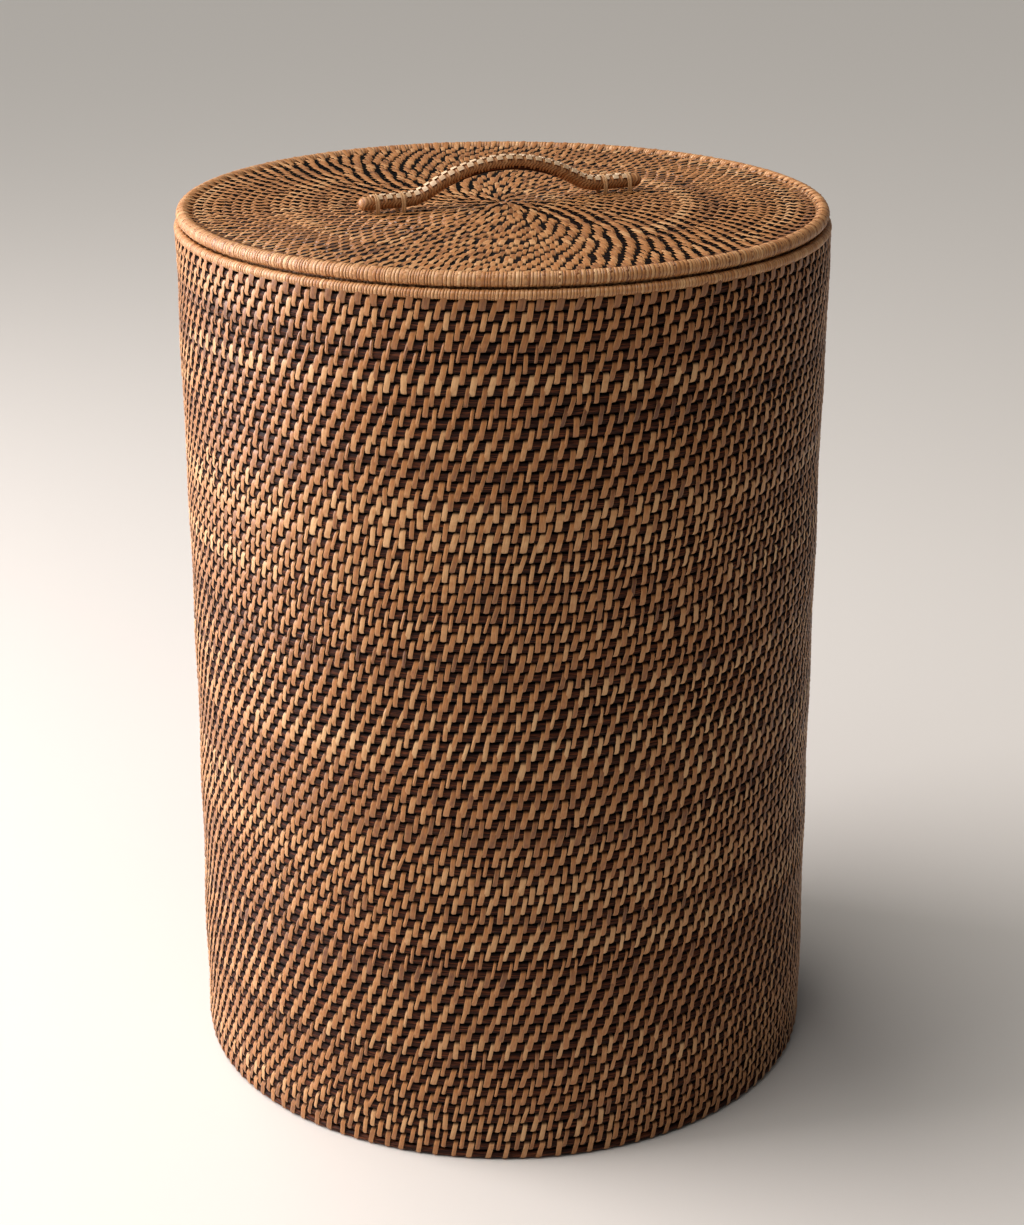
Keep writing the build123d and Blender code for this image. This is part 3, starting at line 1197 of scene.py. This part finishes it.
@dataclass
class Handle:
    """The arched handle: wound rod, woven strip along its top, and lashings at its feet."""

    half_span: float = 68.0 * MM
    rise_radius: float = 34.0 * MM
    wrap_width: float = 2.2 * MM
    sides: int = 14
    groove: float = 0.22 * MM
    check_step: float = 3.3 * MM
    braid_width: float = 2.9 * MM
    slimmer: float = 0.75 * MM
    arc: float = 3.0
    loop_width: float = 1.45 * MM
    loop_step: float = 1.5 * MM
    strip_ends: float = 16 * MM

    def __post_init__(self) -> None:
        """Reads the handle's ends, thickness and height from the frame."""
        low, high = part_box("handle_tips")
        _, arch_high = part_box("handle_wrap")
        self.reach = (high.z - low.z) / 2 - self.slimmer
        self.foot_z = (high.z + low.z) / 2
        self.tip_x = high.x
        self.rise = arch_high.z - self.reach - self.foot_z
        self.turn = 2 * math.atan(self.rise / self.half_span)
        self.crown_radius = self.half_span / math.sin(self.turn) - self.rise_radius
        self._trace()

    def _trace(self) -> None:
        """Follows the handle's line from tip to tip and keeps its points and slopes."""
        foot = self.tip_x - self.half_span
        lengths = (foot, self.rise_radius * self.turn, 2 * self.crown_radius * self.turn)
        bends = (0.0, 1 / self.rise_radius, -1 / self.crown_radius)
        spans = (*lengths, *lengths[1::-1])
        curves = (*bends, *bends[1::-1])
        ends = np.cumsum(spans)
        self.length = float(ends[-1])
        self.along = np.linspace(0, self.length, 2001)
        curve = np.array(curves)[np.minimum(np.searchsorted(ends, self.along), 4)]
        step = self.along[1]
        self.slope = np.concatenate(([0.0], np.cumsum(curve[:-1] * step)))
        run, climb = np.cos(self.slope[:-1]) * step, np.sin(self.slope[:-1]) * step
        self.x = -self.tip_x + np.concatenate(([0.0], np.cumsum(run)))
        self.z = self.foot_z + np.concatenate(([0.0], np.cumsum(climb)))

    def on_line(self, along: np.ndarray, side: np.ndarray, up: np.ndarray) -> np.ndarray:
        """Points beside the handle's line.

        Args:
            along: distance from the left tip.
            side: distance to the side, along Y.
            up: distance square to the line, in its upright plane.

        Returns:
            The points, as (n, 3).
        """
        x = np.interp(along, self.along, self.x)
        z = np.interp(along, self.along, self.z)
        slope = np.interp(along, self.along, self.slope)
        parts = (x - np.sin(slope) * up, side, z + np.cos(slope) * up)
        return np.stack(parts, axis=-1).reshape(-1, 3)

    def winding(self) -> bpy.types.Object:
        """Makes the wound rod with its rounded tips.

        Returns:
            The object.
        """
        draw = np.random.default_rng(61)
        wraps = round(self.length / self.wrap_width)
        rings = wraps * 3
        angle, out, up, faces = ring_form(rings, self.sides, turn=self.arc)
        share = np.abs(angle) / self.arc
        ring = np.round(share * rings).astype(int)
        wrap = np.minimum(ring // 3, wraps - 1)
        depth = np.array((1.0, 0.0, 0.0))[ring % 3]
        around = np.arctan2(up, out)
        nearest = np.minimum(share, 1 - share) * self.length
        dome = np.sqrt(1 - (1 - np.clip(nearest / self.reach, 0, 1)) ** 2)
        proud = draw.uniform(-0.10, 0.12, wraps)[wrap] * MM
        radius = (self.reach - self.groove * depth + proud * (1 - depth)) * dome
        lean = self.wrap_width * around / TAU * np.clip(nearest / self.reach, 0, 1)
        bunch = np.array((0.0, -0.26, 0.26))[ring % 3] / rings
        along = np.clip((share + bunch) * self.length + lean, 0, self.length)
        placed = self.on_line(along, radius * np.cos(around), radius * np.sin(around))
        # Painted shade: the tint is lowered in the grooves between wraps.
        tint = np.clip(draw.normal(0.62, 0.07, wraps), 0.4, 0.9)[wrap] - 0.6 * depth
        across = np.array((-1.3, -0.4, 0.6))[ring % 3]
        grain = np.stack((across, around * self.reach / MM, wrap * 5.7), axis=-1)
        piece = new_piece("handle_winding", placed, faces, grain, tint, sharp=60.0)
        bpy.ops.object.mode_set(mode="EDIT")
        bpy.ops.mesh.select_all(action="SELECT")
        bpy.ops.mesh.remove_doubles(threshold=0.01 * MM)
        bpy.ops.object.mode_set(mode="OBJECT")
        return piece

    def braid(self) -> bpy.types.Object:
        """Makes the strips that pass over and under the wraps along the arch.

        Returns:
            The object.
        """
        parts = []
        checks = int((self.length - self.strip_ends) / self.check_step)
        start = (self.length - checks * self.check_step) / 2
        form = StitchForm(1.0 * MM, 1.0 * MM, 2 * MM)
        for lane in (-1, 0, 1):
            for check in range(checks):
                if (check + lane) % 2:
                    continue
                middle = start + (check + 0.5) * self.check_step
                across = form.points[:, 0] / form.width * self.braid_width
                along = form.points[:, 1] * 0.95
                up = self.reach - 0.45 * MM + 1.35 * MM * (form.points[:, 2] > 0)
                up = up + 0.18 * form.points[:, 2]
                around = (across + lane * self.braid_width * 1.02) / self.reach
                side, rise = up * np.sin(around), up * np.cos(around)
                parts.append(self.on_line(middle + along, side, rise))
        copies = len(parts)
        points = np.concatenate(parts)
        draw = np.random.default_rng(71)
        tint = np.repeat(np.clip(draw.normal(0.72, 0.10, copies), 0.4, 0.98), len(form.points))
        strip = np.repeat(draw.uniform(0, STRIP_NUMBERS, copies), len(form.points))
        flat = np.tile(form.points[:, :2] / MM, (copies, 1))
        grain = np.column_stack((flat, strip))
        faces = tile_faces(form.faces, copies, len(form.points))[:, ::-1]
        return new_piece("handle_weave", points, faces, grain, tint, sharp=60.0)

    def tie(self, node: str) -> bpy.types.Object:
        """Makes one lashing: two loops of narrow peel over the foot and through the lid.

        Args:
            node: the CAD node that it stands for.

        Returns:
            The object.
        """
        low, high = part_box(node)
        reach = high.y - 0.25 * MM
        low_reach = reach - 0.5 * MM
        drop = self.foot_z - (low.z + 0.3 * MM) - low_reach
        form = StitchForm(
            low_reach, reach, drop, width=self.loop_width, thickness=0.6 * MM, dip=0.0
        )
        height = form.points[:, 1] - form.points[:, 1].max() + self.foot_z + reach
        loops = []
        for number in (-0.5, 0.5):
            middle = (low.x + high.x) / 2 + number * self.loop_step
            loops.append(np.column_stack((middle + form.points[:, 0], form.points[:, 2], height)))
        points = np.concatenate(loops)
        faces = tile_faces(form.faces, 2, len(form.points))[:, ::-1]
        grain = np.tile(form.points / MM, (2, 1))
        tint = np.repeat((0.78, 0.9), len(form.points))
        return new_piece(f"{node}_peel", points, faces, grain, tint, sharp=60.0)

    def build(
        self, peel: bpy.types.Material, braid: bpy.types.Material, tie: bpy.types.Material
    ) -> None:
        """Makes and dresses the handle.

        Args:
            peel: finish of the winding.
            braid: finish of the woven strip.
            tie: finish of the lashings.
        """
        replaced = ["handle_wrap", "handle_tips"]
        finish_piece(self.winding(), Body.LID, Slot.PEEL, peel, replaced)
        finish_piece(self.braid(), Body.LID, Slot.BRAID, braid, ["handle_braid"])
        for node in ("left_tip_tie", "left_arch_tie", "right_arch_tie", "right_tip_tie"):
            finish_piece(self.tie(node), Body.LID, Slot.TIE, tie, [node])


# ---------------------------------------------------------------- stage


@dataclass
class Studio:
    """Pale floor, soft window light from the left, and the camera."""

    camera_distance: float = 1.5931
    camera_height: float = 0.9007
    camera_azimuth: float = math.radians(-23.8)
    camera_yaw: float = math.radians(0.21)
    camera_pitch: float = math.radians(17.08)
    lens: float = 74.17
    shift_y: float = -0.14
    floor_size: float = 40.0
    sun_strength: float = 2.3
    sun_width: float = math.radians(70)
    sun_tilt: float = math.radians(43)
    sun_bearing: float = math.radians(-112)
    surround: tuple[float, float, float] = (0.93, 0.94, 0.96)
    surround_strength: float = 0.13

    @staticmethod
    def direction(azimuth: float) -> tuple[float, float]:
        """Unit vector from the object towards this bearing; 0 is -Y, positive towards +X."""
        return math.sin(azimuth), -math.cos(azimuth)

    def camera(self) -> None:
        """Adds the camera."""
        data = bpy.data.cameras.new("camera")
        data.lens = self.lens
        data.sensor_width = 36.0
        data.shift_y = self.shift_y
        camera = bpy.data.objects.new("camera", data)
        bpy.context.scene.collection.objects.link(camera)
        x, y = self.direction(self.camera_azimuth)
        camera.location = (x * self.camera_distance, y * self.camera_distance, self.camera_height)
        camera.rotation_mode = "XYZ"
        turn = self.camera_azimuth - self.camera_yaw
        camera.rotation_euler = (math.pi / 2 - self.camera_pitch, 0, turn)
        bpy.context.scene.camera = camera

    def light(
        self,
        name: str,
        bearing: float,
        distance: float,
        height: float,
        aim: float,
        size: tuple[float, float],
        power: float,
        colour: tuple[float, float, float],
    ) -> None:
        """Adds one soft rectangular light.

        Args:
            name: its name.
            bearing: angle from the camera's bearing, negative to the camera's left.
            distance: distance from the axis.
            height: height of its middle.
            aim: height on the axis that it points at.
            size: width and height.
            power: power in watts.
            colour: its colour.
        """
        data = bpy.data.lights.new(name, "AREA")
        data.shape = "RECTANGLE"
        data.size, data.size_y = size
        data.energy = power
        data.color = colour
        lamp = bpy.data.objects.new(name, data)
        bpy.context.scene.collection.objects.link(lamp)
        azimuth = self.camera_azimuth + bearing
        x, y = self.direction(azimuth)
        lamp.location = (x * distance, y * distance, height)
        tilt = math.atan2(height - aim, distance)
        lamp.rotation_euler = (math.pi / 2 - tilt, 0, azimuth)

    def daylight(self) -> None:
        """Adds the broad soft daylight that comes over the left shoulder."""
        data = bpy.data.lights.new("daylight", "SUN")
        data.energy = self.sun_strength
        data.angle = self.sun_width
        data.color = (1.0, 0.985, 0.965)
        lamp = bpy.data.objects.new("daylight", data)
        bpy.context.scene.collection.objects.link(lamp)
        lamp.rotation_euler = (self.sun_tilt, 0, self.camera_azimuth + self.sun_bearing)

    def build(self, floor: bpy.types.Material) -> None:
        """Makes floor, lights and camera.

        Args:
            floor: finish of the floor.
        """
        self.camera()
        plane = {"size": self.floor_size, "location": (0, 0, 0)}
        ground = primitive(bpy.ops.mesh.primitive_plane_add, **plane)
        ground.name = "floor"
        ground.data.materials.append(floor)
        side, above = math.radians(-92), math.radians(-40)
        self.light("window", side, 2.1, 1.0, 0.34, (1.7, 1.5), 84.0, (1.0, 0.955, 0.985))
        self.light("overhead", above, 1.0, 2.2, 0.5, (1.5, 1.5), 24.0, (1.0, 0.99, 0.99))
        self.daylight()
        world = bpy.data.worlds.new("studio")
        world.use_nodes = True
        background = world.node_tree.nodes["Background"]
        background.inputs["Color"].default_value = (*self.surround, 1.0)
        background.inputs["Strength"].default_value = self.surround_strength
        bpy.context.scene.world = world
        bpy.context.scene.view_settings.view_transform = "Standard"


def dress_cores(material: bpy.types.Material) -> None:
    """Gives the CAD rods that stay, inside their wrappings, the core finish.

    Args:
        material: the core finish.
    """
    for node in ("foot_rod", "rim_rod", "lid_rim_rod", "hoop_rods", "handle_core"):
        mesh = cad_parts[node].data
        mesh.materials.clear()
        mesh.materials.append(material)


def main() -> None:
    """Builds the hamper's looks, sub-assembly by sub-assembly."""
    logging.basicConfig(level=logging.INFO, format="%(name)s: %(message)s")
    core = CoreFinish("rattan_core_streaked").build()
    solid_core = CoreFinish("rattan_core_plain").build(streaked=False)
    peel = PeelFinish("rattan_peel_honey").build()
    wrapping = {"half_width": 1.0, "tuck": 99.0, "edge_highlight_share": 0.1, "mottling": 0.14}
    wrap = PeelFinish("rattan_peel_wrapping", **wrapping).build()
    cream = {"honey": (0.47, 0.27, 0.125), "pale": (0.72, 0.54, 0.35), "edge_highlight": (0.70, 0.50, 0.31)}
    braid = PeelFinish("rattan_peel_braid", half_width=1.3, tuck=99.0, **cream).build()
    tie = PeelFinish("rattan_peel_tie", half_width=0.8, tuck=99.0).build()
    Studio().build(FloorFinish().build())
    dress_cores(solid_core)
    Wall().build(core, peel, wrap)
    Disc("base", Body.BASKET, "base_coil", "base_lashing", seed=43).build(core, peel)
    Lid().build(core, peel, wrap)
    Handle().build(wrap, braid, tie)


if __name__ == "__main__":
    main()
